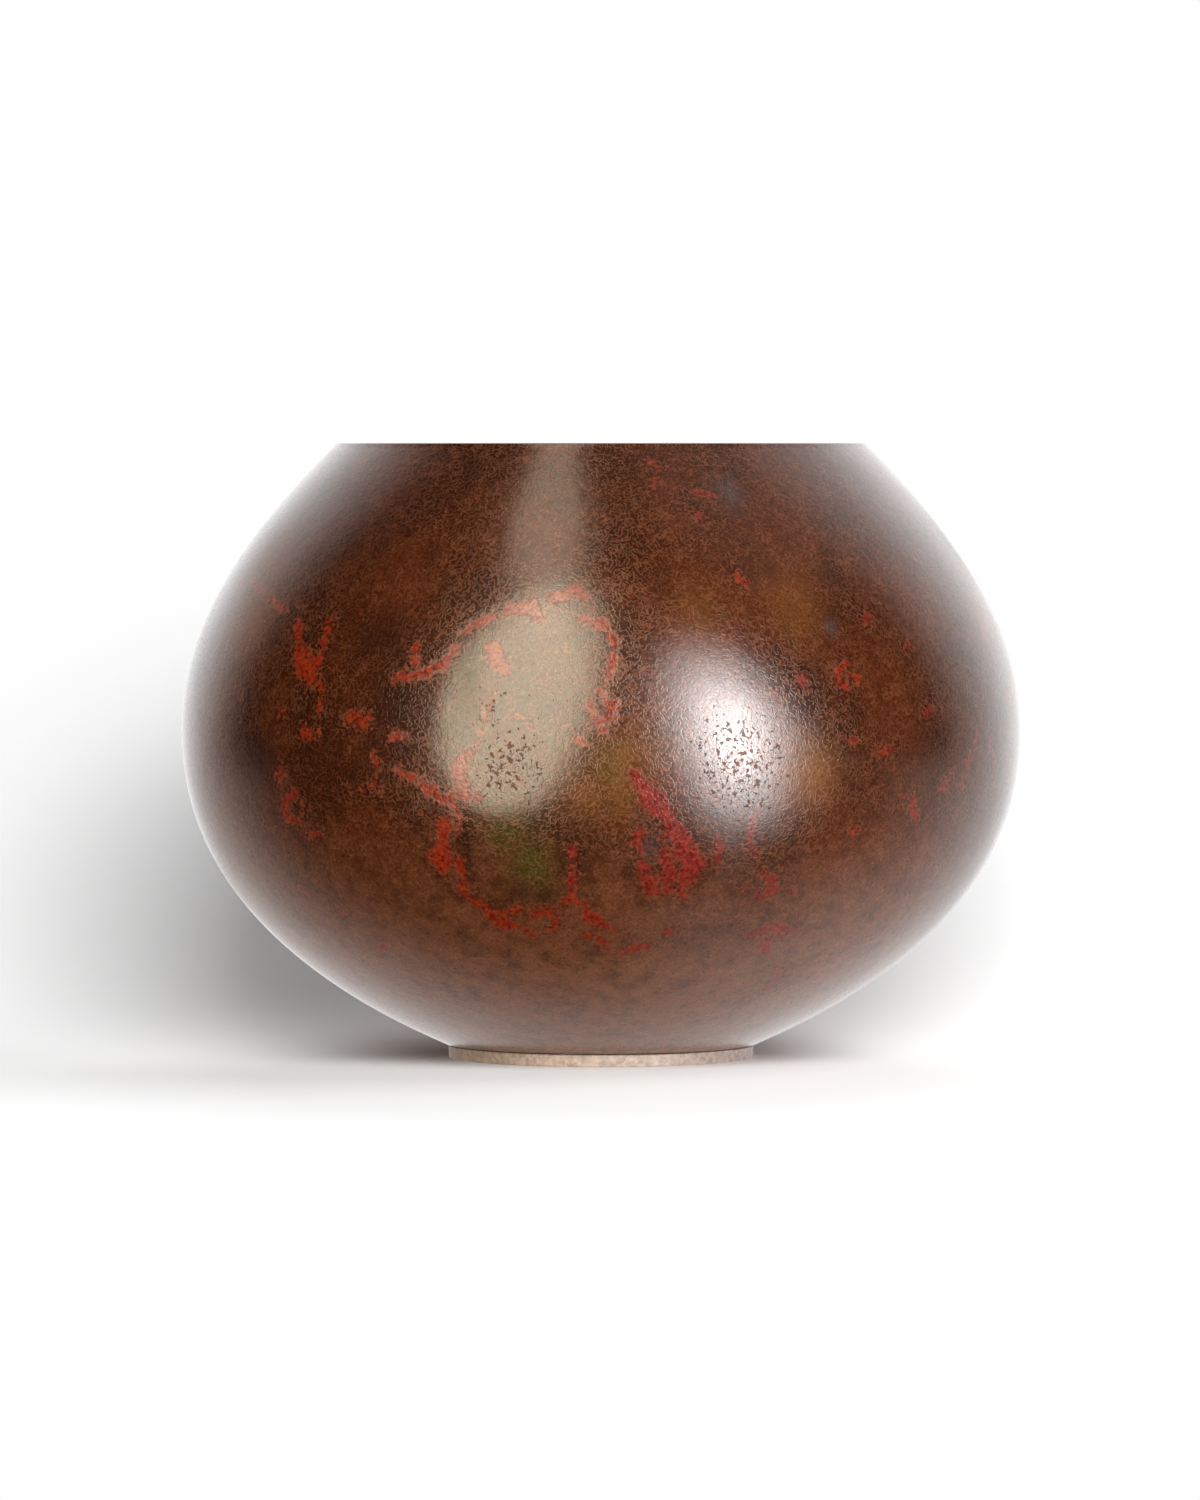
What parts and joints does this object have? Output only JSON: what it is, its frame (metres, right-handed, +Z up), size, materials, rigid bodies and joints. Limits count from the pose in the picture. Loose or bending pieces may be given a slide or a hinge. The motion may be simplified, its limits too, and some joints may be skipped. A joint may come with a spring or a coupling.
{
  "type": "bronze vase",
  "caption": "Squat round flower vase of patinated cast bronze, with a wide level mouth, a low foot ring and a soldered base plate.",
  "frame": {"origin": "centre of the foot's standing face, on the vase's axis, so the vase stands on z = 0", "axes": "+Z up along the axis the vase was turned about; -Y is the side that the picture shows; +X to the right of that view"},
  "size_m": [0.22, 0.22, 0.161],
  "materials": {
    "patinated_bronze": "cast bronze, mottled brown and red patina under wax",
    "foot_bronze": "turned bronze, even red-brown patina under wax",
    "base_bronze": "turned bronze plate, dull brown patina"
  },
  "bodies": {
    "root": {"vase_body": "patinated_bronze", "foot_ring": "foot_bronze", "base_plate": "base_bronze"}
  },
  "joints": []
}
